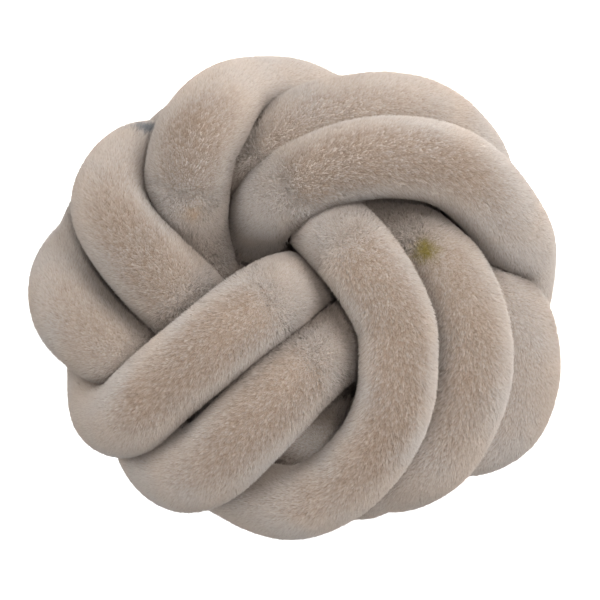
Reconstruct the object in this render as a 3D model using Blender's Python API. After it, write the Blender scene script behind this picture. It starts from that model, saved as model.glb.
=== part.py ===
"""Knot cushion: one long stuffed plush tube, joined end to end and wound over and under itself
into a round knot that lies on its back. Metres, +Z up, origin under the middle of the cushion."""
import bpy
import bmesh
import numpy as np

# Driving dimensions, in millimetres.
MM = 0.001
TUBE_RADIUS = 32.0
RINGS = 400
SIDES = 12

# How the stuffed tube packs, in millimetres between the middles of two passes that touch.
TOUCH_ON_TOP = 57.0
TOUCH_INSIDE = 50.0
NEXT_ALONG = 95.0        # stretches closer than this along the tube don't count as two passes
TIGHTEST_BEND = 48.0
TENSION = 0.05           # how far a hidden stretch is drawn straight in each round
HIDDEN_HOLD = 0.02       # how far it is drawn back to its own points
LOWEST_MIDDLE = 27.0     # the tube's middle over the floor, a little under its radius: pressed flat
HIGHEST_MIDDLE = 208.0
INNER_REACH = (156.0, 140.0)   # half width and half depth that the hidden stretches stay inside
SPACING = 12.0
ROUNDS = 400
FINE_SPACING = 4.0

# Where two passes press on each other, each stops this far short of the plane between them.
SKIN_GAP = 1.5
SHOULDER = 10.0          # how sharply the round side turns into the pressed flat side
INSIDE_OF_BEND = 0.9     # how near the skin comes to the middle point of its own bend

# The tube's middle, in millimetres: x to the right, y to the far side, z above the floor.
# A pass is its name, how firmly its place is held, how much thinner than the rest it is pulled at
# its start and its end, the stretch that shows on top, and the stretch underneath that leads to
# the next pass. The last one leads back to the first.
ROUTE = (
    ("upper left arc", 1.0, (0.0, 0.0),
     ((-71, 12, 108), (-75, 38, 130), (-79, 67, 155), (-78, 95, 180), (-72, 117, 182), (-63, 129, 170),
      (-52, 139, 150), (-38, 147, 128), (-20, 150, 108), (-2, 149, 96), (17, 141, 84)),
     ((50, 125, 62), (85, 111, 45), (110, 82, 38), (105, 46, 38), (72, 26, 56), (40, 13, 94))),
    ("upper diagonal", 1.0, (1.5, 1.5),
     ((15, 3, 128), (1, 4, 158), (-13, -1, 184), (-30, -10, 202), (-54, -28, 205), (-83, -52, 194),
      (-106, -71, 174), (-123, -85, 146), (-137, -83, 116), (-141, -64, 92)),
     ((-139, -32, 66), (-146, 1, 46), (-142, 32, 34), (-114, 34, 28), (-78, 8, 27), (-42, -10, 27),
      (-4, -16, 27), (26, 0, 34), (40, 34, 76))),
    ("second right loop", 1.0, (0.0, 0.0),
     ((51, 54, 116), (68, 46, 138), (84, 40, 150), (103, 27, 162), (120, -2, 168), (128, -34, 168),
      (127, -61, 164), (120, -84, 154), (105, -111, 138), (91, -122, 122), (79, -128, 108),
      (62, -129, 92)),
     ((32, -132, 60), (-3, -122, 33), (-39, -92, 27), (-72, -60, 28), (-92, -52, 54), (-96, -60, 88))),
    ("left end", 1.0, (0.0, 0.0),
     ((-108, -57, 120), (-126, -42, 144), (-146, -28, 150), (-162, -13, 144), (-167, 4, 130),
      (-164, 21, 112), (-153, 35, 98)),
     ((-135, 56, 78), (-116, 86, 54), (-84, 100, 36), (-46, 76, 27), (-14, 44, 32), (-6, 44, 70))),
    ("first right loop", 1.0, (2.0, 5.0),
     ((4, 75, 128), (22, 55, 172), (39, 38, 198), (55, 17, 206), (67, -4, 206), (74, -21, 205),
      (75, -44, 203), (74, -67, 200), (67, -92, 192), (52, -117, 180), (31, -138, 164),
      (4, -151, 148), (-20, -150, 126), (-40, -142, 106)),
     ((-70, -122, 78), (-104, -92, 52), (-128, -50, 38), (-116, 0, 48), (-87, 40, 62), (-56, 70, 84))),
    ("outer top arc", 1.0, (0.0, 0.0),
     ((-39, 89, 116), (-25, 101, 148), (-10, 112, 158), (16, 128, 158), (39, 133, 155), (62, 136, 150),
      (79, 135, 144), (93, 132, 136), (108, 124, 124), (119, 114, 110), (128, 104, 96), (134, 90, 82)),
     ((143, 60, 56), (140, 22, 36), (122, -20, 28), (94, -50, 28), (66, -46, 44), (54, -32, 84))),
    ("lower diagonal", 1.0, (0.0, 0.0),
     ((45, -23, 116), (33, -27, 144), (21, -35, 168), (1, -55, 188), (-20, -78, 190), (-43, -102, 182),
      (-61, -119, 166), (-78, -127, 148), (-92, -123, 122), (-103, -112, 98)),
     ((-116, -86, 76), (-126, -54, 70), (-110, -18, 72), (-84, 12, 84))),
    ("inner top arc", 1.0, (3.0, 1.5),
     ((-58, 36, 64), (-42, 48, 90), (-26, 61, 122), (-8, 75, 158), (14, 89, 186), (48, 101, 199),
      (77, 103, 196), (108, 98, 186), (131, 85, 170), (150, 65, 148), (161, 47, 126), (166, 26, 100),
      (164, 1, 76)),
     ((156, -34, 56), (142, -74, 40), (113, -102, 36), (78, -109, 52))),
    ("deep pass in the eye", 0.5, (0.0, 0.0),
     ((47, -109, 82), (22, -111, 100), (-6, -101, 106)),
     ((-36, -76, 106), (-62, -40, 116))),
    ("lower left arc", 1.0, (0.0, 0.0),
     ((-79, -5, 148), (-100, 17, 168), (-121, 44, 168), (-133, 67, 158), (-128, 87, 140),
      (-116, 100, 118), (-98, 103, 96)),
     ((-68, 113, 76), (-30, 121, 56), (6, 108, 36), (40, 80, 28), (80, 54, 32), (108, 30, 60),
      (123, 9, 90))),
    ("right end", 1.0, (0.0, 0.0),
     ((134, 8, 100), (150, -2, 114), (162, -20, 120), (166, -38, 120), (167, -50, 118), (165, -67, 112),
      (157, -88, 104), (147, -97, 97), (133, -103, 91), (119, -102, 87)),
     ((103, -94, 84), (84, -82, 74), (54, -78, 52), (20, -66, 46), (-14, -44, 56), (-40, -14, 78),
      (-60, 4, 92))),
)

# Looks, as the plush shows at a step away.
PLUSH_COLOUR = (0.49, 0.40, 0.33, 1.0)
PLUSH_ROUGHNESS = 0.95


def route_points():
    """All the points of the route in order, with how firmly each is held and how much thinner the
    tube is there: both are 0 in the hidden stretches."""
    points = []
    hold = []
    thinner = []
    for _name, firmness, pulled, shown, hidden in ROUTE:
        points += shown + hidden
        hold += [firmness] * len(shown) + [0.0] * len(hidden)
        thinner += list(np.linspace(*pulled, len(shown))) + [0.0] * len(hidden)
    return np.array(points, float), np.stack([hold, thinner], axis=1)


def evenly_spaced(points, values, count):
    """Points and values at equal steps along a closed line of straight pieces."""
    lengths = np.linalg.norm(np.roll(points, -1, 0) - points, axis=1)
    along = np.concatenate([[0.0], np.cumsum(lengths)])
    wanted = np.arange(count) * along[-1] / count
    columns = np.hstack([points, values])
    closed = np.vstack([columns, columns[:1]])
    even = np.stack([np.interp(wanted, along, column) for column in closed.T], axis=1)
    return even[:, :3], even[:, 3:]


def blend(first, second, start, end, at):
    """The point at time `at` on the straight way from first (at start) to second (at end)."""
    return (end - at) / (end - start) * first + (at - start) / (end - start) * second


def smooth_curve(points, values, steps):
    """A closed centripetal Catmull-Rom curve through the points, with `steps` points on each span."""
    curve = []
    curve_values = []
    count = len(points)
    for i in range(count):
        a, b, c, d = (points[(i + k) % count] for k in (-1, 0, 1, 2))
        t1 = np.linalg.norm(b - a) ** 0.5
        t2 = t1 + np.linalg.norm(c - b) ** 0.5
        t3 = t2 + np.linalg.norm(d - c) ** 0.5
        for k in range(steps):
            t = t1 + (t2 - t1) * k / steps
            ab = blend(a, b, 0.0, t1, t)
            bc = blend(b, c, t1, t2, t)
            cd = blend(c, d, t2, t3, t)
            curve.append(blend(blend(ab, bc, 0.0, t2, t), blend(bc, cd, t1, t3, t), t1, t2, t))
            curve_values.append(blend(values[i], values[(i + 1) % count], 0.0, steps, k))
    return np.array(curve), np.array(curve_values)


def neighbours_mean(path, reach):
    return (np.roll(path, reach, 0) + np.roll(path, -reach, 0)) / 2.0


def settle(path, hold):
    """Lets the passes push each other apart until they lie side by side, as the stuffing does.

    Held points stay where they show. Hidden ones give way, bend gently and stay inside the cushion."""
    path = path.copy()
    start = path.copy()
    count = len(path)
    first, second = np.triu_indices(count, 1)
    apart = np.minimum(second - first, count - (second - first)) * SPACING
    first, second = first[apart > NEXT_ALONG], second[apart > NEXT_ALONG]
    wanted = TOUCH_INSIDE + (TOUCH_ON_TOP - TOUCH_INSIDE) * (hold[first] + hold[second]) / 2.0
    give = np.stack([1 - 0.93 * hold, 1 - 0.93 * hold, 1 - 0.6 * hold], axis=1)
    for _round in range(ROUNDS):
        between = path[first] - path[second]
        distance = np.linalg.norm(between, axis=1)
        touching = distance < wanted
        i, j = first[touching], second[touching]
        push = between[touching] * ((wanted - distance) / distance)[touching, None]
        shares = give[i] + give[j]
        moved = np.zeros_like(path)
        np.add.at(moved, i, push * give[i] / shares)
        np.add.at(moved, j, -push * give[j] / shares)
        contacts = np.bincount(i, minlength=count) + np.bincount(j, minlength=count)
        path += 0.9 * moved / np.maximum(contacts, 1)[:, None]

        pull = neighbours_mean(path, 1) - path
        stiffness = neighbours_mean(pull, 1) - pull
        path += TENSION * pull * (1 - hold)[:, None] - 0.12 * stiffness
        sag = neighbours_mean(path, 2) - path
        half_chord = np.linalg.norm(np.roll(path, 2, 0) - np.roll(path, -2, 0), axis=1) / 2.0
        bend = half_chord ** 2 / np.maximum(2 * np.linalg.norm(sag, axis=1), 0.001)
        path += sag * (0.35 * np.clip(1 - bend / TIGHTEST_BEND, 0, 1))[:, None]

        back = start - path
        path[:, :2] += back[:, :2] * (0.6 * hold + HIDDEN_HOLD)[:, None]
        path[:, 2] += back[:, 2] * (0.1 * hold + HIDDEN_HOLD)
        path[:, 2] = np.clip(path[:, 2], LOWEST_MIDDLE, HIGHEST_MIDDLE)
        reach = np.hypot(path[:, 0] / INNER_REACH[0], path[:, 1] / INNER_REACH[1])
        outside = (reach > 1) & (hold < 0.5)
        path[outside, :2] /= reach[outside, None]
    return path


def ring_axes(path):
    """Two directions across the tube at each point, carried along it and eased round to meet the start."""
    tangent = np.roll(path, -1, 0) - np.roll(path, 1, 0)
    tangent /= np.linalg.norm(tangent, axis=1)[:, None]
    across = [np.cross(tangent[0], (0, 0, 1))]
    for k in range(1, len(path) + 1):
        t = tangent[k % len(path)]
        carried = across[-1] - t * across[-1].dot(t)
        across.append(carried / np.linalg.norm(carried))
    across = np.array(across)
    up = np.cross(tangent, across[:-1])
    missed = np.arctan2(across[-1].dot(up[0]), across[-1].dot(across[0] / np.linalg.norm(across[0])))
    turn = -missed * np.arange(len(path)) / len(path)
    across = across[:-1] / np.linalg.norm(across[:-1], axis=1)[:, None]
    up = np.cross(tangent, across)
    side = np.cos(turn)[:, None] * across + np.sin(turn)[:, None] * up
    return side, np.cross(tangent, side)


def pressed_points(middle, direction, own_place, own_radius, path):
    """The skin's point in each direction from the tube's middle, pressed in where other passes lie."""
    offset = path - middle
    towards = direction @ offset.T
    squared = (offset ** 2).sum(axis=1)
    count = len(path)
    along = np.abs(np.arange(count) - own_place)
    along = np.minimum(along, count - along) * FINE_SPACING
    gap = np.where(along > NEXT_ALONG, SKIN_GAP, 0.0)
    reach = (squared - gap ** 2) / np.maximum(2 * (towards + gap), 0.001)
    reach[:, along <= NEXT_ALONG] *= INSIDE_OF_BEND
    reach[:, along < SPACING] = np.inf
    nearest = reach.min(axis=1)
    radius = (own_radius ** -SHOULDER + nearest ** -SHOULDER) ** (-1 / SHOULDER)
    return middle + direction * radius[:, None]


def tube_skin(path, thinner, rings, sides):
    """Rings of skin points round the tube, cut level with the floor."""
    middles, values = evenly_spaced(path, np.stack([np.arange(len(path)), thinner], axis=1), rings)
    places = values[:, 0]
    radii = TUBE_RADIUS - values[:, 1]
    side, up = ring_axes(middles)
    angles = 2 * np.pi * np.arange(sides) / sides
    skin = []
    for k in range(rings):
        direction = np.cos(angles)[:, None] * side[k] + np.sin(angles)[:, None] * up[k]
        skin.append(pressed_points(middles[k], direction, places[k], radii[k], path))
    skin = np.array(skin)
    skin[..., 2] = np.maximum(skin[..., 2], 0.0)
    return skin


def centred(skin):
    """The same points with the box's bottom middle at the origin."""
    low = skin.reshape(-1, 3).min(axis=0)
    high = skin.reshape(-1, 3).max(axis=0)
    return skin - np.array([(low[0] + high[0]) / 2, (low[1] + high[1]) / 2, low[2]])


def plush_material():
    material = bpy.data.materials.new("plush")
    material.use_nodes = True
    shader = material.node_tree.nodes["Principled BSDF"]
    shader.inputs["Base Color"].default_value = PLUSH_COLOUR
    shader.inputs["Roughness"].default_value = PLUSH_ROUGHNESS
    shader.inputs["Metallic"].default_value = 0.0
    return material


def knot_tube():
    """The cushion itself: the closed tube's skin, one solid."""
    curve, values = smooth_curve(*route_points(), 24)
    length = np.linalg.norm(np.roll(curve, -1, 0) - curve, axis=1).sum()
    path, values = evenly_spaced(curve, values, int(round(length / SPACING)))
    path = settle(path, values[:, 0])
    path, values = smooth_curve(path, values, int(SPACING / FINE_SPACING))
    skin = centred(tube_skin(path, values[:, 1], RINGS, SIDES)) * MM

    bm = bmesh.new()
    rings = [[bm.verts.new(point) for point in ring] for ring in skin]
    for k, ring in enumerate(rings):
        following = rings[(k + 1) % len(rings)]
        for s in range(SIDES):
            t = (s + 1) % SIDES
            bm.faces.new((ring[s], ring[t], following[t], following[s]))
    mesh = bpy.data.meshes.new("knot_tube")
    bmesh.ops.recalc_face_normals(bm, faces=bm.faces)
    bm.to_mesh(mesh)
    bm.free()
    mesh.shade_smooth()
    mesh.materials.append(plush_material())
    tube = bpy.data.objects.new("knot_tube", mesh)
    bpy.context.scene.collection.objects.link(tube)
    return tube


for old in list(bpy.data.objects):
    bpy.data.objects.remove(old, do_unlink=True)

knot_tube()
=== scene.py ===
"""The looks of a knot cushion: a stuffed tube of short beige plush, wound over and under itself
into a round knot that lies on its back on a pale floor."""

import bpy
import numpy as np
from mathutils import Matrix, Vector
from mathutils.bvhtree import BVHTree


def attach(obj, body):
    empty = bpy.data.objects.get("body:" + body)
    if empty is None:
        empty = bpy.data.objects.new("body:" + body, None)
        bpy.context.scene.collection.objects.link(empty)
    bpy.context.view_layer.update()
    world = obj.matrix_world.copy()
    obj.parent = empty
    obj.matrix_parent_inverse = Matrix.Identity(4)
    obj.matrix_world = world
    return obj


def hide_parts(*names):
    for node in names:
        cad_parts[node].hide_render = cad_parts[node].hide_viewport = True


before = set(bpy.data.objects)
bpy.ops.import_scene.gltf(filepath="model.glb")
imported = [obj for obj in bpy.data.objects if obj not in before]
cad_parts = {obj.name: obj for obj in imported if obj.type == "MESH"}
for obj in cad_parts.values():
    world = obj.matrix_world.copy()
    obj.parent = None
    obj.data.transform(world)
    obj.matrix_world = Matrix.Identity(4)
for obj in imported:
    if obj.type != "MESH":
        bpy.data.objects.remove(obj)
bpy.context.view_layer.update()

# ---------------------------------------------------------------------------------------------
# The tube. The real one is a strip of short-pile plush sewn into a tube, stuffed with fibre,
# joined end to end and wound into the knot. Here is its backing cloth, which the stuffing
# rounds and the other passes press flat; the pile stands on it. Lengths are in millimetres.
MM = 0.001
TUBE_RADIUS = 32.0
SOLID_RINGS = 400
SOLID_SIDES = 12
BACKING_RADIUS = 30.2
BACKING_RINGS = 1300
BACKING_SIDES = 36

# How finely the route is drawn: points on each span, then the steps before and after settling.
CURVE_STEPS = 24
SPACING = 12.0
FINE_SPACING = 4.0

# How the passes settle. Passes touch at these distances, and points closer than NEXT_ALONG along
# the tube belong to one pass. Held points give way less, and each round takes them back again.
ROUNDS = 400
TOUCH_ON_TOP = 57.0
TOUCH_INSIDE = 50.0
NEXT_ALONG = 95.0
HELD_LEVEL = 0.93
HELD_UPRIGHT = 0.6
PUSH_STEP = 0.9
TENSION = 0.05
STIFFNESS = 0.12
TIGHTEST_BEND = 48.0
UNBEND_STEP = 0.35
RETURN_LEVEL = 0.6
RETURN_UPRIGHT = 0.1
HIDDEN_HOLD = 0.02
LOWEST_MIDDLE = 27.0
HIGHEST_MIDDLE = 208.0
INNER_REACH = (156.0, 140.0)

# How the skin is pressed in: half the gap to the next pass, how sharply it turns from round to
# flat, and how far it reaches on the inside of a bend.
SKIN_GAP = 1.5
BACKING_GAP = 0.3
SHOULDER = 10.0
INSIDE_OF_BEND = 0.9

# Keeps divisions away from zero.
LEAST = 0.001

# A pass is its name, how firmly its place is held, how much thinner than the rest it is pulled at
# its start and its end, the stretch that shows on top, and the stretch underneath that leads to
# the next pass. The last one leads back to the first.
ROUTE = (
    ("upper left arc", 1.0, (0.0, 0.0),
     ((-71, 12, 108), (-75, 38, 130), (-79, 67, 155), (-78, 95, 180), (-72, 117, 182), (-63, 129, 170),
      (-52, 139, 150), (-38, 147, 128), (-20, 150, 108), (-2, 149, 96), (17, 141, 84)),
     ((50, 125, 62), (85, 111, 45), (110, 82, 38), (105, 46, 38), (72, 26, 56), (40, 13, 94))),
    ("upper diagonal", 1.0, (1.5, 1.5),
     ((15, 3, 128), (1, 4, 158), (-13, -1, 184), (-30, -10, 202), (-54, -28, 205), (-83, -52, 194),
      (-106, -71, 174), (-123, -85, 146), (-137, -83, 116), (-141, -64, 92)),
     ((-139, -32, 66), (-146, 1, 46), (-142, 32, 34), (-114, 34, 28), (-78, 8, 27), (-42, -10, 27),
      (-4, -16, 27), (26, 0, 34), (40, 34, 76))),
    ("second right loop", 1.0, (0.0, 0.0),
     ((51, 54, 116), (68, 46, 138), (84, 40, 150), (103, 27, 162), (120, -2, 168), (128, -34, 168),
      (127, -61, 164), (120, -84, 154), (105, -111, 138), (91, -122, 122), (79, -128, 108),
      (62, -129, 92)),
     ((32, -132, 60), (-3, -122, 33), (-39, -92, 27), (-72, -60, 28), (-92, -52, 54), (-96, -60, 88))),
    ("left end", 1.0, (0.0, 0.0),
     ((-108, -57, 120), (-126, -42, 144), (-146, -28, 150), (-162, -13, 144), (-167, 4, 130),
      (-164, 21, 112), (-153, 35, 98)),
     ((-135, 56, 78), (-116, 86, 54), (-84, 100, 36), (-46, 76, 27), (-14, 44, 32), (-6, 44, 70))),
    ("first right loop", 1.0, (2.0, 5.0),
     ((4, 75, 128), (22, 55, 172), (39, 38, 198), (55, 17, 206), (67, -4, 206), (74, -21, 205),
      (75, -44, 203), (74, -67, 200), (67, -92, 192), (52, -117, 180), (31, -138, 164),
      (4, -151, 148), (-20, -150, 126), (-40, -142, 106)),
     ((-70, -122, 78), (-104, -92, 52), (-128, -50, 38), (-116, 0, 48), (-87, 40, 62), (-56, 70, 84))),
    ("outer top arc", 1.0, (0.0, 0.0),
     ((-39, 89, 116), (-25, 101, 148), (-10, 112, 158), (16, 128, 158), (39, 133, 155), (62, 136, 150),
      (79, 135, 144), (93, 132, 136), (108, 124, 124), (119, 114, 110), (128, 104, 96), (134, 90, 82)),
     ((143, 60, 56), (140, 22, 36), (122, -20, 28), (94, -50, 28), (66, -46, 44), (54, -32, 84))),
    ("lower diagonal", 1.0, (0.0, 0.0),
     ((45, -23, 116), (33, -27, 144), (21, -35, 168), (1, -55, 188), (-20, -78, 190), (-43, -102, 182),
      (-61, -119, 166), (-78, -127, 148), (-92, -123, 122), (-103, -112, 98)),
     ((-116, -86, 76), (-126, -54, 70), (-110, -18, 72), (-84, 12, 84))),
    ("inner top arc", 1.0, (3.0, 1.5),
     ((-58, 36, 64), (-42, 48, 90), (-26, 61, 122), (-8, 75, 158), (14, 89, 186), (48, 101, 199),
      (77, 103, 196), (108, 98, 186), (131, 85, 170), (150, 65, 148), (161, 47, 126), (166, 26, 100),
      (164, 1, 76)),
     ((156, -34, 56), (142, -74, 40), (113, -102, 36), (78, -109, 52))),
    ("deep pass in the eye", 0.5, (0.0, 0.0),
     ((47, -109, 82), (22, -111, 100), (-6, -101, 106)),
     ((-36, -76, 106), (-62, -40, 116))),
    ("lower left arc", 1.0, (0.0, 0.0),
     ((-79, -5, 148), (-100, 17, 168), (-121, 44, 168), (-133, 67, 158), (-128, 87, 140),
      (-116, 100, 118), (-98, 103, 96)),
     ((-68, 113, 76), (-30, 121, 56), (6, 108, 36), (40, 80, 28), (80, 54, 32), (108, 30, 60),
      (123, 9, 90))),
    ("right end", 1.0, (0.0, 0.0),
     ((134, 8, 100), (150, -2, 114), (162, -20, 120), (166, -38, 120), (167, -50, 118), (165, -67, 112),
      (157, -88, 104), (147, -97, 97), (133, -103, 91), (119, -102, 87)),
     ((103, -94, 84), (84, -82, 74), (54, -78, 52), (20, -66, 46), (-14, -44, 56), (-40, -14, 78),
      (-60, 4, 92))),
)


def route_points():
    """All the points of the route in order, with how firmly each is held and how much thinner the
    tube is there: both are 0 in the hidden stretches."""
    points = []
    hold = []
    thinner = []
    for _name, firmness, pulled, shown, hidden in ROUTE:
        points += shown + hidden
        hold += [firmness] * len(shown) + [0.0] * len(hidden)
        thinner += list(np.linspace(*pulled, len(shown))) + [0.0] * len(hidden)
    return np.array(points, float), np.stack([hold, thinner], axis=1)


def evenly_spaced(points, values, count):
    """Points and values at equal steps along a closed line of straight pieces."""
    lengths = np.linalg.norm(np.roll(points, -1, 0) - points, axis=1)
    along = np.concatenate([[0.0], np.cumsum(lengths)])
    wanted = np.arange(count) * along[-1] / count
    columns = np.hstack([points, values])
    closed = np.vstack([columns, columns[:1]])
    even = np.stack([np.interp(wanted, along, column) for column in closed.T], axis=1)
    return even[:, :3], even[:, 3:]


def blend(first, second, start, end, at):
    """The point at time `at` on the straight way from first (at start) to second (at end)."""
    return (end - at) / (end - start) * first + (at - start) / (end - start) * second


def smooth_curve(points, values, steps):
    """A closed smooth curve through the points, with `steps` points on each span."""
    curve = []
    curve_values = []
    count = len(points)
    for i in range(count):
        a, b, c, d = (points[(i + k) % count] for k in (-1, 0, 1, 2))
        t1 = np.linalg.norm(b - a) ** 0.5
        t2 = t1 + np.linalg.norm(c - b) ** 0.5
        t3 = t2 + np.linalg.norm(d - c) ** 0.5
        for k in range(steps):
            t = t1 + (t2 - t1) * k / steps
            ab = blend(a, b, 0.0, t1, t)
            bc = blend(b, c, t1, t2, t)
            cd = blend(c, d, t2, t3, t)
            curve.append(blend(blend(ab, bc, 0.0, t2, t), blend(bc, cd, t1, t3, t), t1, t2, t))
            curve_values.append(blend(values[i], values[(i + 1) % count], 0.0, steps, k))
    return np.array(curve), np.array(curve_values)


def neighbours_mean(path, reach):
    return (np.roll(path, reach, 0) + np.roll(path, -reach, 0)) / 2.0


def settle(path, hold):
    """Lets the passes push each other apart until they lie side by side, as the stuffing does."""
    path = path.copy()
    start = path.copy()
    count = len(path)
    first, second = np.triu_indices(count, 1)
    apart = np.minimum(second - first, count - (second - first)) * SPACING
    first, second = first[apart > NEXT_ALONG], second[apart > NEXT_ALONG]
    wanted = TOUCH_INSIDE + (TOUCH_ON_TOP - TOUCH_INSIDE) * (hold[first] + hold[second]) / 2.0
    give = np.stack([1 - HELD_LEVEL * hold, 1 - HELD_LEVEL * hold, 1 - HELD_UPRIGHT * hold], axis=1)
    for _round in range(ROUNDS):
        between = path[first] - path[second]
        distance = np.linalg.norm(between, axis=1)
        touching = distance < wanted
        i, j = first[touching], second[touching]
        push = between[touching] * ((wanted - distance) / distance)[touching, None]
        shares = give[i] + give[j]
        moved = np.zeros_like(path)
        np.add.at(moved, i, push * give[i] / shares)
        np.add.at(moved, j, -push * give[j] / shares)
        contacts = np.bincount(i, minlength=count) + np.bincount(j, minlength=count)
        path += PUSH_STEP * moved / np.maximum(contacts, 1)[:, None]

        pull = neighbours_mean(path, 1) - path
        kink = neighbours_mean(pull, 1) - pull
        path += TENSION * pull * (1 - hold)[:, None] - STIFFNESS * kink
        sag = neighbours_mean(path, 2) - path
        half_chord = np.linalg.norm(np.roll(path, 2, 0) - np.roll(path, -2, 0), axis=1) / 2.0
        bend = half_chord ** 2 / np.maximum(2 * np.linalg.norm(sag, axis=1), LEAST)
        path += sag * (UNBEND_STEP * np.clip(1 - bend / TIGHTEST_BEND, 0, 1))[:, None]

        back = start - path
        path[:, :2] += back[:, :2] * (RETURN_LEVEL * hold + HIDDEN_HOLD)[:, None]
        path[:, 2] += back[:, 2] * (RETURN_UPRIGHT * hold + HIDDEN_HOLD)
        path[:, 2] = np.clip(path[:, 2], LOWEST_MIDDLE, HIGHEST_MIDDLE)
        reach = np.hypot(path[:, 0] / INNER_REACH[0], path[:, 1] / INNER_REACH[1])
        outside = (reach > 1) & (hold < 0.5)
        path[outside, :2] /= reach[outside, None]
    return path


def ring_axes(path):
    """Two directions across the tube at each point, carried along it and eased round to meet."""
    tangent = np.roll(path, -1, 0) - np.roll(path, 1, 0)
    tangent /= np.linalg.norm(tangent, axis=1)[:, None]
    across = [np.cross(tangent[0], (0, 0, 1))]
    for k in range(1, len(path) + 1):
        t = tangent[k % len(path)]
        carried = across[-1] - t * across[-1].dot(t)
        across.append(carried / np.linalg.norm(carried))
    across = np.array(across)
    up = np.cross(tangent, across[:-1])
    missed = np.arctan2(across[-1].dot(up[0]), across[-1].dot(across[0] / np.linalg.norm(across[0])))
    turn = -missed * np.arange(len(path)) / len(path)
    across = across[:-1] / np.linalg.norm(across[:-1], axis=1)[:, None]
    up = np.cross(tangent, across)
    side = np.cos(turn)[:, None] * across + np.sin(turn)[:, None] * up
    return side, np.cross(tangent, side)


def way_out(middle, direction, own_place, path, gap_between):
    """How far it is in each direction from the tube's middle to where the next pass presses on it."""
    offset = path - middle
    towards = direction @ offset.T
    squared = (offset ** 2).sum(axis=1)
    count = len(path)
    along = np.abs(np.arange(count) - own_place)
    along = np.minimum(along, count - along) * FINE_SPACING
    gap = np.where(along > NEXT_ALONG, gap_between, 0.0)
    reach = (squared - gap ** 2) / np.maximum(2 * (towards + gap), LEAST)
    reach[:, along <= NEXT_ALONG] *= INSIDE_OF_BEND
    reach[:, along < SPACING] = np.inf
    return reach.min(axis=1)


def tube_skin(path, thinner, rings, sides, radius, gap_between):
    """Rings of skin points round the tube, cut level with the floor, and the room over each."""
    middles, values = evenly_spaced(path, np.stack([np.arange(len(path)), thinner], axis=1), rings)
    places = values[:, 0]
    radii = radius - values[:, 1]
    side, up = ring_axes(middles)
    angles = 2 * np.pi * np.arange(sides) / sides
    skin = []
    rooms = []
    for k in range(rings):
        direction = np.cos(angles)[:, None] * side[k] + np.sin(angles)[:, None] * up[k]
        nearest = way_out(middles[k], direction, places[k], path, gap_between)
        pressed = (radii[k] ** -SHOULDER + nearest ** -SHOULDER) ** (-1 / SHOULDER)
        skin.append(middles[k] + direction * pressed[:, None])
        rooms.append(nearest - pressed)
    skin = np.array(skin)
    skin[..., 2] = np.maximum(skin[..., 2], 0.0)
    return skin, np.array(rooms)


curve, values = smooth_curve(*route_points(), CURVE_STEPS)
length = np.linalg.norm(np.roll(curve, -1, 0) - curve, axis=1).sum()
path, values = evenly_spaced(curve, values, int(round(length / SPACING)))
path = settle(path, values[:, 0])
path, values = smooth_curve(path, values, int(SPACING / FINE_SPACING))
thinner = values[:, 1]

# The solid's own rings give the place of the box's bottom middle, where the origin is.
solid_skin, _rooms = tube_skin(path, thinner, SOLID_RINGS, SOLID_SIDES, TUBE_RADIUS, SKIN_GAP)
low = solid_skin.reshape(-1, 3).min(axis=0)
high = solid_skin.reshape(-1, 3).max(axis=0)
ORIGIN = np.array([(low[0] + high[0]) / 2, (low[1] + high[1]) / 2, low[2]])

backing, room = tube_skin(path, thinner, BACKING_RINGS, BACKING_SIDES, BACKING_RADIUS, BACKING_GAP)
backing = (backing - ORIGIN) * MM


def ring_faces(rings, sides):
    """The corners of each square of the tube's skin, ring by ring."""
    ring = np.arange(rings)[:, None]
    side = np.arange(sides)[None, :]
    after = (ring + 1) % rings
    beside = (side + 1) % sides
    corners = [ring * sides + side, ring * sides + beside, after * sides + beside, after * sides + side]
    return np.stack(corners, axis=-1).reshape(-1, 4)


backing_corners = backing.reshape(-1, 3).tolist()
backing_faces = ring_faces(BACKING_RINGS, BACKING_SIDES).tolist()
tube_mesh = bpy.data.meshes.new("stuffed_tube")
tube_mesh.from_pydata(backing_corners, [], backing_faces)
tube_mesh.shade_smooth()
tube = bpy.data.objects.new("stuffed_tube", tube_mesh)
bpy.context.scene.collection.objects.link(tube)

# The tube's skin as a strip folded into rows, so that its colours keep their detail on a square.
STRIP_ROWS = 6
STRIP_MARGIN = 0.04
row_length = int(np.ceil(BACKING_RINGS / STRIP_ROWS))
ring_of_face = np.repeat(np.arange(BACKING_RINGS), BACKING_SIDES)
side_of_face = np.tile(np.arange(BACKING_SIDES), BACKING_RINGS)
row = ring_of_face // row_length
left = (ring_of_face % row_length) / row_length
right = left + 1 / row_length
lower = side_of_face / BACKING_SIDES
upper = lower + 1 / BACKING_SIDES
corner_u = np.stack([left, left, right, right], axis=1)
corner_v = np.stack([lower, upper, upper, lower], axis=1)
corner_v = (row[:, None] + STRIP_MARGIN + corner_v * (1 - 2 * STRIP_MARGIN)) / STRIP_ROWS
strip = tube_mesh.uv_layers.new(name="OFBake")
strip.uv.foreach_set("vector", np.stack([corner_u, corner_v], axis=-1).astype(np.float32).ravel())

# ---------------------------------------------------------------------------------------------
# The plush's colour. The hairs are dark brown where they grow from the backing and pale beige
# at their tips. The beige wanders from warm to grey and has painted shade in the folds, and on it
# lie an olive stain, a slate smear of painted shadow and a faint rust tint.
WARM = (0.492, 0.425, 0.37, 1.0)
GREY = (0.482, 0.438, 0.402, 1.0)
ROOT = (0.27, 0.195, 0.14, 1.0)
FOLD_SHADE_TINT = (0.54, 0.51, 0.49, 1.0)
PATCH_SIZE = 0.045
PATCH_EDGES = (0.35, 0.65)
HAIR_SHADES = (0.92, 1.08)
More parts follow.
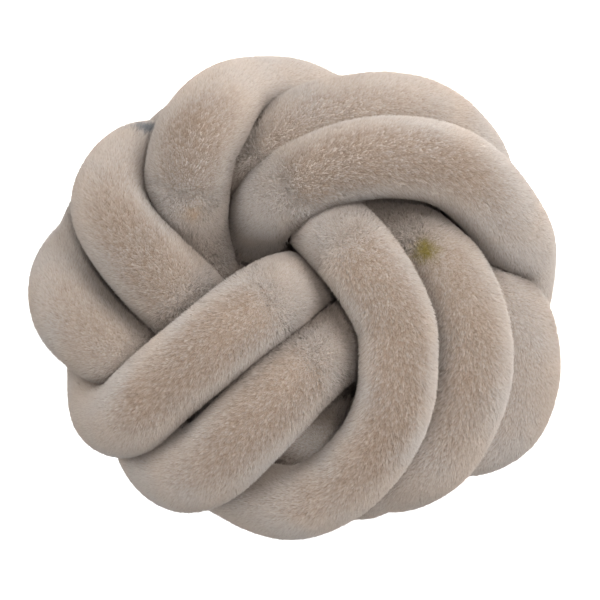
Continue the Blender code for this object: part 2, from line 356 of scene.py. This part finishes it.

# A mark is its name, its middle, how far it reaches, how strong it is and its colour. The olive
# and the rust marks are stains; the slate one is a painted shadow where a pass goes under another.
STAINS_AND_PAINTED_SHADOW = (
    ("olive", (0.0953, 0.0335, 0.190), 0.010, 0.9, (0.20, 0.155, 0.03, 1.0)),
    # Painted shadow, where this pass goes under the one beside it.
    ("slate shadow", (-0.110, 0.127, 0.130), 0.012, 0.8, (0.15, 0.17, 0.19, 1.0)),
    ("rust", (-0.074, 0.0605, 0.192), 0.008, 0.5, (0.46, 0.31, 0.18, 1.0)),
)
STAIN_AND_SHADOW_BLUR = 0.015
STAIN_AND_SHADOW_GRAIN = 130.0
STAIN_AND_SHADOW_RAGGED = -0.016
STAIN_AND_SHADOW_STREAKS = 0.006

BACKING_GRAIN = 600.0
BACKING_BUMP = 0.001
BACKING_PALENESS = 0.75


def set_inputs(tree, node, inputs):
    """Each input is given a value to set or a socket to link."""
    for key, value in dict(inputs).items():
        if isinstance(value, bpy.types.NodeSocket):
            tree.links.new(value, node.inputs[key])
        else:
            node.inputs[key].default_value = value


def add_node(tree, kind, name, inputs=(), **settings):
    node = tree.nodes.new(kind)
    node.name = name
    node.label = name
    for key, value in settings.items():
        setattr(node, key, value)
    set_inputs(tree, node, inputs)
    return node


def maths(tree, name, operation, *numbers):
    node = add_node(tree, "ShaderNodeMath", name, enumerate(numbers), operation=operation)
    return node.outputs["Value"]


def vector_maths(tree, name, operation, *vectors):
    node = add_node(tree, "ShaderNodeVectorMath", name, enumerate(vectors), operation=operation)
    return node.outputs["Vector"]


def ramp(tree, name, value, edges, levels=(0.0, 1.0), kind="LINEAR"):
    """Goes from the first level to the second between the two edges, and is level outside them."""
    inputs = {"Value": value, "From Min": edges[0], "From Max": edges[1]}
    inputs.update({"To Min": levels[0], "To Max": levels[1]})
    node = add_node(tree, "ShaderNodeMapRange", name, inputs, interpolation_type=kind)
    return node.outputs["Result"]


def noise(tree, name, place, scale, detail):
    return add_node(tree, "ShaderNodeTexNoise", name, {"Vector": place, "Scale": scale, "Detail": detail})


def mix_colours(tree, name, factor, first, second, way="MIX"):
    inputs = {0: factor, 6: first, 7: second}
    return add_node(tree, "ShaderNodeMix", name, inputs, data_type="RGBA", blend_type=way).outputs[2]


def plush_colour_group():
    """Colour from how far up the hair a point is, the hair's own shade, and painted shade in the folds."""
    group = bpy.data.node_groups.new("plush colour", "ShaderNodeTree")
    for name in ("Up the Hair", "Own Shade", "Painted Fold Shade"):
        group.interface.new_socket(name, in_out="INPUT", socket_type="NodeSocketFloat")
    group.interface.new_socket("Color", in_out="OUTPUT", socket_type="NodeSocketColor")
    given = group.nodes.new("NodeGroupInput").outputs
    place = add_node(group, "ShaderNodeTexCoord", "place").outputs["Object"]
    patches = noise(group, "patches", place, 1 / PATCH_SIZE, 3.0).outputs["Fac"]
    patches = ramp(group, "patch contrast", patches, PATCH_EDGES)
    tips = mix_colours(group, "warm or grey", patches, WARM, GREY)
    hair = mix_colours(group, "root to tip", given["Up the Hair"], ROOT, tips)

    ragged = noise(group, "ragged edge", place, STAIN_AND_SHADOW_GRAIN, 2.0).outputs["Fac"]
    # Each mark tints the colour round its middle; the slate one is a painted shadow.
    for name, middle, reach, strength, colour in STAINS_AND_PAINTED_SHADOW:
        offset = vector_maths(group, "from the " + name + " stain", "SUBTRACT", place, middle)
        away = add_node(group, "ShaderNodeVectorMath", "distance to it", {0: offset}, operation="LENGTH")
        uneven = maths(group, "uneven", "MULTIPLY_ADD", ragged, STAIN_AND_SHADOW_RAGGED, away.outputs["Value"])
        streaky = maths(group, "each hair differs", "MULTIPLY_ADD",
                        given["Own Shade"], STAIN_AND_SHADOW_STREAKS, uneven)
        edges = (reach, reach - STAIN_AND_SHADOW_BLUR)
        stained_and_shaded = ramp(group, name, streaky, edges, (0.0, strength), "SMOOTHSTEP")
        hair = mix_colours(group, name + " stain", stained_and_shaded, hair, colour)

    shade = ramp(group, "shade", given["Own Shade"], (0.0, 1.0), HAIR_SHADES)
    hair = mix_colours(group, "each hair's shade", 1.0, hair, shade, "MULTIPLY")
    # Painted shade: darker where little light gets into the folds between passes.
    hair = mix_colours(group, "painted shade in the folds", given["Painted Fold Shade"], hair, FOLD_SHADE_TINT, "MULTIPLY")
    group.links.new(hair, group.nodes.new("NodeGroupOutput").inputs["Color"])
    return group


plush_colour = plush_colour_group()


def coloured(tree, rise, shade):
    """The plush's colour in a material, with painted shade where the cloth's fold-shade value says so."""
    fold_shade = add_node(tree, "ShaderNodeAttribute", "fold_shade", attribute_name="fold_shade").outputs["Fac"]
    inputs = {"Up the Hair": rise, "Own Shade": shade, "Painted Fold Shade": fold_shade}
    return add_node(tree, "ShaderNodeGroup", "colour", inputs, node_tree=plush_colour).outputs["Color"]


def backing_material():
    """The cloth under the pile, seen only between the hairs and where the cushion is pressed."""
    material = bpy.data.materials.new("plush backing")
    material.use_nodes = True
    tree = material.node_tree
    place = add_node(tree, "ShaderNodeTexCoord", "place").outputs["Object"]
    tufts = noise(tree, "tufts", place, BACKING_GRAIN, 2.0).outputs["Fac"]
    relief = {"Height": tufts, "Strength": 0.6, "Distance": BACKING_BUMP}
    set_inputs(tree, tree.nodes["Principled BSDF"], {
        "Base Color": coloured(tree, BACKING_PALENESS, tufts),
        "Roughness": 0.95,
        "Specular IOR Level": 0.1,
        "Normal": add_node(tree, "ShaderNodeBump", "tuft bump", relief).outputs["Normal"],
    })
    return material


tube_mesh.materials.append(backing_material())

# ---------------------------------------------------------------------------------------------
# The pile. Dense hairs of 3 to 4.5 mm stand on the backing, brushed along the tube and gathered
# in small tufts. They tangle where the tube climbs and are shorter where a pass presses on the
# next, and on the crowns their brown is painted further up as painted shade. None grow where
# nobody can look in.
PILE_PIECES = 5
HAIRS = 900000
HAIR_LENGTH = 4.0
HAIR_WIDTH = 0.72
OWN_LENGTHS = (0.72, 1.12)
SPIN = 0.6

# The nap turns round where the tube climbs this steeply, and the hairs stand upright there.
STEEP = 0.62
STEEP_BLEND = 0.30

# Ways out are tried at every few rings and sides, from just above the backing.
LOOKS = 56
LOOK_RINGS = 4
LOOK_SIDES = 3
LOOK_FROM = 4.5
LOOK_SLANT = 0.15

# How tall the hairs stand in the room that they have, in millimetres.
BURIED = 1.5
ROOM_TO_STAND = 5.5
SHORTEST = 0.2
UPRIGHT_SHORTER = 0.15

# How densely they grow. Each pair is where an effect starts and where it is full.
ROOM_TO_GROW = (0.4, 2.5)
SEEN_ENOUGH = (0.0, 0.12)
UNDERSIDE = (-0.7, 0.1)
UNDERSIDE_PILE = 0.45
FLOOR_CLEARANCE = 0.0002
OFF_THE_FLOOR = (FLOOR_CLEARANCE, 0.003)
UPRIGHT_FULLER = 0.7

# Painted shade on the pile: darker in the folds, where little light gets in, and on the crowns that
# face up, where the brown of the roots is painted further up the hairs, less on the lower passes.
FOLD_SHADE_SEEN = (0.08, 0.78)
FOLD_SHADE_SLOPE = (0.75, 1.0)
CROWN_SHADE_SLOPE = (0.3, 1.05)
CROWN_SHADE_STRENGTH = 0.9
CROWN_SHADE_HEIGHTS = (0.14, 0.22)
LOW_CROWN_SHADE = 0.35
OWN_SHADE_DEPTHS = (0.2, 1.0)
CROWN_SHADE_RANGE = (0.3, 1.2)
CROWN_SHADE_PALENESS = 0.2
CROWN_EDGE = (0.3, 1.0)
SIDE_ROOT_PALENESS = 0.5
PALE_PART = (0.05, 0.6)

tube_tree = BVHTree.FromPolygons(backing_corners, backing_faces)
normals = np.empty(BACKING_RINGS * BACKING_SIDES * 3)
tube_mesh.vertex_normals.foreach_get("vector", normals)
normals = normals.reshape(BACKING_RINGS, BACKING_SIDES, 3)


def looks_out():
    """Directions spread evenly over a sphere."""
    k = np.arange(LOOKS) + 0.5
    height = 1 - 2 * k / LOOKS
    turn = k * np.pi * (3 - 5 ** 0.5)
    flat = np.sqrt(1 - height ** 2)
    return np.stack([flat * np.cos(turn), flat * np.sin(turn), height], axis=1)


def seen_from_outside():
    """The share of the ways out of each spot that nothing blocks."""
    ways = looks_out()
    rings = np.arange(0, BACKING_RINGS, LOOK_RINGS)
    sides = np.arange(0, BACKING_SIDES, LOOK_SIDES)
    seen = np.zeros((len(rings), len(sides)))
    for a, ring in enumerate(rings):
        for b, side in enumerate(sides):
            normal = normals[ring, side]
            start = Vector(backing[ring, side] + normal * LOOK_FROM * MM)
            outwards = ways[ways @ normal > LOOK_SLANT]
            clear = 0
            for way in outwards:
                clear += tube_tree.ray_cast(start, Vector(way))[0] is None
            seen[a, b] = clear / len(outwards)
    ring_at = np.arange(BACKING_RINGS) / LOOK_RINGS
    side_at = np.arange(BACKING_SIDES) / LOOK_SIDES
    r0 = ring_at.astype(int)
    s0 = side_at.astype(int)
    rf = (ring_at - r0)[:, None]
    sf = (side_at - s0)[None, :]
    r1 = (r0 + 1) % len(rings)
    s1 = (s0 + 1) % len(sides)
    return ((1 - rf) * ((1 - sf) * seen[r0][:, s0] + sf * seen[r0][:, s1])
            + rf * ((1 - sf) * seen[r1][:, s0] + sf * seen[r1][:, s1]))


def eased(value, edges):
    """Rises smoothly from 0 to 1 between the two edges."""
    t = np.clip((value - edges[0]) / (edges[1] - edges[0]), 0, 1)
    return t * t * (3 - 2 * t)


def at_least(least, share):
    return least + (1 - least) * share


onward = np.roll(backing, -1, 0).mean(axis=1) - np.roll(backing, 1, 0).mean(axis=1)
onward /= np.linalg.norm(onward, axis=1)[:, None]
forwards = -np.clip((onward[:, 2:] - STEEP) / STEEP_BLEND, -1, 1)
onward *= forwards
onward[:, 2] = np.minimum(onward[:, 2], 0.0)
upright = 1 - np.abs(forwards)

seen = seen_from_outside()
facing_up = normals[..., 2]
height = np.clip((room + BURIED) / ROOM_TO_STAND, SHORTEST, 1.0) * (1 - UPRIGHT_SHORTER * upright)
fullness = eased(room, ROOM_TO_GROW) * eased(seen, SEEN_ENOUGH)
fullness *= at_least(UNDERSIDE_PILE, eased(facing_up, UNDERSIDE))
fullness *= eased(backing[..., 2], OFF_THE_FLOOR)
fullness *= 1 + UPRIGHT_FULLER * upright
# Painted shade in the folds: strongest where few ways out are open and the cloth doesn't face up.
fold_shade = (1 - eased(seen, FOLD_SHADE_SEEN)) * (1 - eased(facing_up, FOLD_SHADE_SLOPE))
# Painted shade on the crowns that face up, weaker on the lower passes and where hairs stand upright.
shade_by_height = at_least(LOW_CROWN_SHADE, eased(backing[..., 2], CROWN_SHADE_HEIGHTS))
crown_shade = CROWN_SHADE_STRENGTH * eased(facing_up, CROWN_SHADE_SLOPE) * (1 - upright) * shade_by_height

along = np.linalg.norm(np.roll(backing, -1, 0) - backing, axis=2)
across = np.linalg.norm(np.roll(backing, -1, 1) - backing, axis=2)
hair_area = (fullness * along * across).sum(axis=1)
area_share = np.cumsum(hair_area) / hair_area.sum()
piece_of_ring = np.minimum((area_share * PILE_PIECES).astype(int), PILE_PIECES - 1)
DENSITY = HAIRS / hair_area.sum()


def tube_values(name, values, kind="FLOAT", domain="POINT"):
    """Keeps a value or a direction with each point or face of the backing."""
    kept = tube_mesh.attributes.new(name, kind, domain)
    field = "vector" if kind == "FLOAT_VECTOR" else "value"
    kept.data.foreach_set(field, np.asarray(values, np.float32).ravel())


tube_values("fullness", fullness)
tube_values("height", height)
tube_values("upright", np.repeat(upright, BACKING_SIDES, axis=1))
tube_values("fold_shade", fold_shade)
tube_values("crown_shade", crown_shade)
tube_values("along", np.repeat(onward, BACKING_SIDES, axis=0), "FLOAT_VECTOR")
tube_values("piece", np.repeat(piece_of_ring, BACKING_SIDES), domain="FACE")


def pile_tree(material):
    """Scatters hairs over the tube. Each is one narrow triangle, wide at its root."""
    tree = bpy.data.node_groups.new("plush pile", "GeometryNodeTree")
    tree.is_modifier = True
    tree.interface.new_socket("Geometry", in_out="INPUT", socket_type="NodeSocketGeometry")
    for name, value in (
        ("Piece", 0.0),
        ("Hairs per Square Metre", 1000.0),
        ("Hair Length", HAIR_LENGTH * MM),
        ("Hair Width", HAIR_WIDTH * MM),
        ("Tuft Size", 0.0030),
        ("Tuft Pull", 0.20),
        ("Ripple Size", 0.0045),
        ("Ripple Lean", 0.35),
        ("Lay Size", 0.018),
        ("Lay Lean", 0.3),
        ("Own Lean", 0.10),
        ("Tangle", 0.55),
        ("Nap", 0.75),
        ("Droop", 0.30),
    ):
        socket = tree.interface.new_socket(name, in_out="INPUT", socket_type="NodeSocketFloat")
        socket.default_value = value
    tree.interface.new_socket("Geometry", in_out="OUTPUT", socket_type="NodeSocketGeometry")
    given = tree.nodes.new("NodeGroupInput").outputs

    def node(kind, name, inputs=(), **settings):
        return add_node(tree, kind, name, inputs, **settings)

    def found(name, kind="FLOAT"):
        """A value kept with each point."""
        kept = node("GeometryNodeInputNamedAttribute", name, {"Name": name}, data_type=kind)
        return kept.outputs["Attribute"]

    def keep(name, geometry, value, kind="FLOAT"):
        """Keeps a value with each point, for the material or for further on."""
        inputs = {"Geometry": geometry, "Name": name, "Value": value}
        kept = node("GeometryNodeStoreNamedAttribute", "keep " + name, inputs,
                    data_type=kind, domain="POINT")
        return kept.outputs["Geometry"]

    def chance(name, seed, low, high):
        """A number of each hair's own."""
        inputs = {2: low, 3: high, "Seed": seed}
        return node("FunctionNodeRandomValue", name, inputs, data_type="FLOAT").outputs[1]

    def scaled(name, vector, factor):
        inputs = {0: vector, "Scale": factor}
        return node("ShaderNodeVectorMath", name, inputs, operation="SCALE").outputs["Vector"]

    # The roots, on this piece's own stretch of the tube.
    stretch = {0: found("piece"), 1: given["Piece"], "Epsilon": 0.1}
    own_stretch = node("FunctionNodeCompare", "own stretch", stretch, data_type="FLOAT", operation="EQUAL")
    crowd = maths(tree, "how crowded", "MULTIPLY", found("fullness"), given["Hairs per Square Metre"])
    scatter = node("GeometryNodeDistributePointsOnFaces", "roots", {
        "Mesh": given["Geometry"],
        "Selection": own_stretch.outputs["Result"],
        "Density": crowd,
        "Seed": 11,
    }, distribute_method="RANDOM").outputs
    way_out_of_cloth = scatter["Normal"]
    place = node("GeometryNodeInputPosition", "place").outputs["Position"]

    # The way that each hair leans: everything that pushes on it is added up.
    def lean(name, size, strength):
        """A push to one side that changes smoothly over the cloth."""
        spread = vector_maths(tree, name + " place", "DIVIDE", place, size)
        sideways = noise(tree, name + " noise", spread, 1.0, 1.0).outputs["Color"]
        centred = vector_maths(tree, name + " centred", "SUBTRACT", sideways, (0.5, 0.5, 0.5))
        return scaled(name, centred, strength)

    tufts_per_metre = maths(tree, "tufts per metre", "DIVIDE", 1.0, given["Tuft Size"])
    tuft = {"Vector": place, "Scale": tufts_per_metre}
    tufts = node("ShaderNodeTexVoronoi", "tufts", tuft, feature="F1").outputs
    to_middle = vector_maths(tree, "to the tuft's middle", "SUBTRACT", tufts["Position"], place)
    pull = maths(tree, "pull per metre", "DIVIDE", given["Tuft Pull"], given["Hair Length"])
    any_way = {0: (-1, -1, -1), 1: (1, 1, 1), "Seed": 3}
    stray = node("FunctionNodeRandomValue", "stray", any_way, data_type="FLOAT_VECTOR").outputs[0]
    tangle = maths(tree, "tangled where upright", "MULTIPLY_ADD",
                   found("upright"), given["Tangle"], given["Own Lean"])
    direction = way_out_of_cloth
    for push in (
        scaled("droop", (0.0, 0.0, -1.0), given["Droop"]),
        scaled("nap", found("along", "FLOAT_VECTOR"), given["Nap"]),
        scaled("gathered", to_middle, pull),
        lean("ripple", given["Ripple Size"], given["Ripple Lean"]),
        lean("lay", given["Lay Size"], given["Lay Lean"]),
        scaled("own lean", stray, tangle),
    ):
        direction = vector_maths(tree, "lean added", "ADD", direction, push)

    aim = node("FunctionNodeAlignRotationToVector", "aim", {"Vector": direction}, axis="Z")
    level = {"Rotation": aim.outputs["Rotation"], "Vector": way_out_of_cloth}
    face_out = node("FunctionNodeAlignRotationToVector", "face out", level, axis="X", pivot_axis="Z")
    spin = node("ShaderNodeCombineXYZ", "spin about the hair", {"Z": chance("spin", 5, -SPIN, SPIN)})
    turn = {"Rotation": face_out.outputs["Rotation"], "Rotate By": spin.outputs["Vector"]}
    turned = node("FunctionNodeRotateRotation", "turned", turn, rotation_space="LOCAL")

    tall = maths(tree, "own length", "MULTIPLY", chance("grown", 8, *OWN_LENGTHS), found("height"))
    length = maths(tree, "hair length", "MULTIPLY", tall, given["Hair Length"])
    sizes = {"X": given["Hair Width"], "Y": given["Hair Width"], "Z": length}
    size = node("ShaderNodeCombineXYZ", "hair size", sizes).outputs["Vector"]

    # What the material needs to know of each hair.
    points = keep("shade", scatter["Points"], chance("own shade", 9, 0.0, 1.0))
    # The painted shade on the crowns, deeper for some hairs and between the tufts.
    depth = chance("own depth", 14, *OWN_SHADE_DEPTHS)
    between = maths(tree, "deeper between tufts", "ADD", depth, tufts["Distance"])
    shade_on_top = maths(tree, "painted shade on top", "MULTIPLY", found("crown_shade"), between)
    points = keep("shade_depth", points, shade_on_top)
    points = keep("outward", points, way_out_of_cloth, "FLOAT_VECTOR")

    # One hair: a triangle of unit height that stands on its base.
    corners = {"Vertices": 3, "Radius": 2 / 3}
    triangle = node("GeometryNodeMeshCircle", "triangle", corners, fill_type="NGON")
    blade = node("GeometryNodeTransform", "hair", {
        "Geometry": triangle.outputs["Mesh"],
        "Translation": (0.0, 0.0, 1 / 3),
        "Rotation": (0.0, -np.pi / 2, np.pi),
        "Scale": (1.0, 3 ** 0.5 / 2, 1.0),
    }).outputs["Geometry"]
    up_the_hair = node("ShaderNodeSeparateXYZ", "up the hair", {"Vector": place}).outputs["Z"]
    hairs = node("GeometryNodeInstanceOnPoints", "hairs", {
        "Points": points,
        "Instance": keep("tip", blade, up_the_hair),
        "Rotation": turned.outputs["Rotation"],
        "Scale": size,
    })
    real = node("GeometryNodeRealizeInstances", "real", {"Geometry": hairs.outputs["Instances"]})

    floor_limit = (-9.0, -9.0, FLOOR_CLEARANCE)
    above = vector_maths(tree, "not through the floor", "MAXIMUM", place, floor_limit)
    lifted = {"Geometry": real.outputs["Geometry"], "Position": above}
    flattened = node("GeometryNodeSetPosition", "flattened", lifted).outputs["Geometry"]
    lit = {"Mesh": flattened, "Custom Normal": found("outward", "FLOAT_VECTOR")}
    facing = node("GeometryNodeSetMeshNormal", "lit as the pile is", lit, mode="FREE", domain="POINT")
    finish = {"Geometry": facing.outputs["Mesh"], "Material": material}
    finished = node("GeometryNodeSetMaterial", "plush", finish).outputs["Geometry"]
    tree.links.new(finished, tree.nodes.new("NodeGroupOutput").inputs["Geometry"])
    return tree


def hair_material():
    """Brown roots and beige tips. On the crowns the brown is painted further up the hairs as painted
    shade, deeper for some hairs and between tufts.
    """
    material = bpy.data.materials.new("plush hair")
    material.use_nodes = True
    tree = material.node_tree

    def found(name):
        return add_node(tree, "ShaderNodeAttribute", name, attribute_name=name).outputs["Fac"]

    shade_depth = found("shade_depth")
    # Painted shade: the brown reaches further up where the crown shade is deep.
    sunk = ramp(tree, "painted shade where tufts part", shade_depth, CROWN_SHADE_RANGE, (1.0, CROWN_SHADE_PALENESS))
    root = ramp(tree, "paler roots beside the crown", shade_depth, CROWN_EDGE, (SIDE_ROOT_PALENESS, 0.0))
    pale = ramp(tree, "pale from the middle up", found("tip"), PALE_PART, (root, 1.0))
    colour = coloured(tree, maths(tree, "up the hair", "MULTIPLY", pale, sunk), found("shade"))
    shader = tree.nodes["Principled BSDF"]
    set_inputs(tree, shader, {
        "Base Color": colour,
        "Roughness": 0.85,
        "Specular IOR Level": 0.0,
        "Diffuse Roughness": 1.0,
    })

    # A hair that shows its back lets through the light that falls on its front.
    through = add_node(tree, "ShaderNodeBsdfTranslucent", "light let through", {"Color": colour})
    side = add_node(tree, "ShaderNodeNewGeometry", "side")
    either = add_node(tree, "ShaderNodeMixShader", "front or back", {
        0: side.outputs["Backfacing"],
        1: shader.outputs["BSDF"],
        2: through.outputs["BSDF"],
    })
    tree.links.new(either.outputs["Shader"], tree.nodes["Material Output"].inputs["Surface"])
    return material


def grow_pile():
    """One piece of pile for each stretch of the tube."""
    tree = pile_tree(hair_material())
    inputs = [item for item in tree.interface.items_tree if item.in_out == "INPUT"]
    sockets = {item.name: item.identifier for item in inputs}
    pieces = []
    for number in range(PILE_PIECES):
        name = "pile_%d" % (number + 1)
        cloth = bpy.data.objects.new("cloth", tube_mesh)
        bpy.context.scene.collection.objects.link(cloth)
        modifier = cloth.modifiers.new("pile", "NODES")
        modifier.node_group = tree
        modifier[sockets["Piece"]] = float(number)
        modifier[sockets["Hairs per Square Metre"]] = float(DENSITY)
        grown = cloth.evaluated_get(bpy.context.evaluated_depsgraph_get())
        mesh = bpy.data.meshes.new_from_object(grown)
        bpy.data.objects.remove(cloth)
        mesh.name = name
        piece = bpy.data.objects.new(name, mesh)
        bpy.context.scene.collection.objects.link(piece)
        pieces.append(piece)
    return pieces


def hair_cells(mesh):
    """A map with a small cell for each hair, in the order in which they grow along the tube."""
    count = len(mesh.polygons)
    rows = int(np.ceil(count ** 0.5))
    cell = np.arange(count)
    u = (cell % rows)[:, None] + np.array([0.5, 0.08, 0.92])
    v = (cell // rows)[:, None] + np.array([0.92, 0.08, 0.08])
    cells = mesh.uv_layers.new(name="OFBake")
    cells.uv.foreach_set("vector", (np.stack([u, v], axis=-1) / rows).astype(np.float32).ravel())


for piece in grow_pile():
    hair_cells(piece.data)
    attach(piece, "root")

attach(tube, "root")
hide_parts("knot_tube")

# ---------------------------------------------------------------------------------------------
# The floor, the lights and the camera. The cushion lies on its back on a white floor, and the
# camera looks straight down on its face. A small light hangs above, a wide soft one stands at
# the upper right, and a weak one at the left stands for a pale wall.
FLOOR_HALF = 3.0
FLOOR_WHITE = (0.9, 0.9, 0.9, 1.0)
FLOOR_GLOW = 1.5
SKY = (0.90, 0.95, 1.0, 1.0)
WALL_TOP = (0.0, 0.38)
WALL_AND_CEILING_GLOW = (2.5, 0.24)

# A light is its name, its place, how wide it is and its power.
LIGHTS = (
    ("ceiling", (0.25, 0.15, 2.8), 0.45, 29.0),
    ("window", (0.92, 0.88, 1.85), 1.3, 46.5),
    ("side wall", (-1.5, 0.5, 1.4), 1.6, 15.0),
)
LIT_SPOT = (0, 0, 0.1)
CAMERA_PLACE = (0.004, -0.003, 3.0)
CAMERA_LENS = 230.8
CAMERA_SENSOR = 36.0

floor_corners = [(x * FLOOR_HALF, y * FLOOR_HALF, 0) for x, y in ((-1, -1), (1, -1), (1, 1), (-1, 1))]
floor_mesh = bpy.data.meshes.new("floor")
floor_mesh.from_pydata(floor_corners, [], [(0, 1, 2, 3)])
floor_finish = bpy.data.materials.new("floor")
floor_finish.use_nodes = True
set_inputs(floor_finish.node_tree, floor_finish.node_tree.nodes["Principled BSDF"], {
    "Base Color": FLOOR_WHITE,
    "Roughness": 1.0,
    "Emission Color": (1.0, 1.0, 1.0, 1.0),
    "Emission Strength": FLOOR_GLOW,
})
floor_mesh.materials.append(floor_finish)
floor = bpy.data.objects.new("floor", floor_mesh)
bpy.context.scene.collection.objects.link(floor)

world = bpy.data.worlds.new("studio")
world.use_nodes = True
room_tree = world.node_tree
look_way = add_node(room_tree, "ShaderNodeTexCoord", "way").outputs["Generated"]
look_height = add_node(room_tree, "ShaderNodeSeparateXYZ", "height", {"Vector": look_way}).outputs["Z"]
room_glow = ramp(room_tree, "pale walls, dim ceiling", look_height, WALL_TOP,
                 WALL_AND_CEILING_GLOW, "SMOOTHSTEP")
set_inputs(room_tree, room_tree.nodes["Background"], {"Color": SKY, "Strength": room_glow})
bpy.context.scene.world = world
bpy.context.scene.view_settings.view_transform = "Standard"

for name, place, size, power in LIGHTS:
    light = bpy.data.lights.new(name, "AREA")
    light.shape = "DISK"
    light.size = size
    light.energy = power
    stand = bpy.data.objects.new(name, light)
    stand.location = place
    stand.rotation_euler = (Vector(LIT_SPOT) - Vector(place)).to_track_quat("-Z", "Y").to_euler()
    bpy.context.scene.collection.objects.link(stand)

camera_data = bpy.data.cameras.new("camera")
camera_data.sensor_width = CAMERA_SENSOR
camera_data.lens = CAMERA_LENS
camera = bpy.data.objects.new("camera", camera_data)
camera.location = CAMERA_PLACE
bpy.context.scene.collection.objects.link(camera)
bpy.context.scene.camera = camera
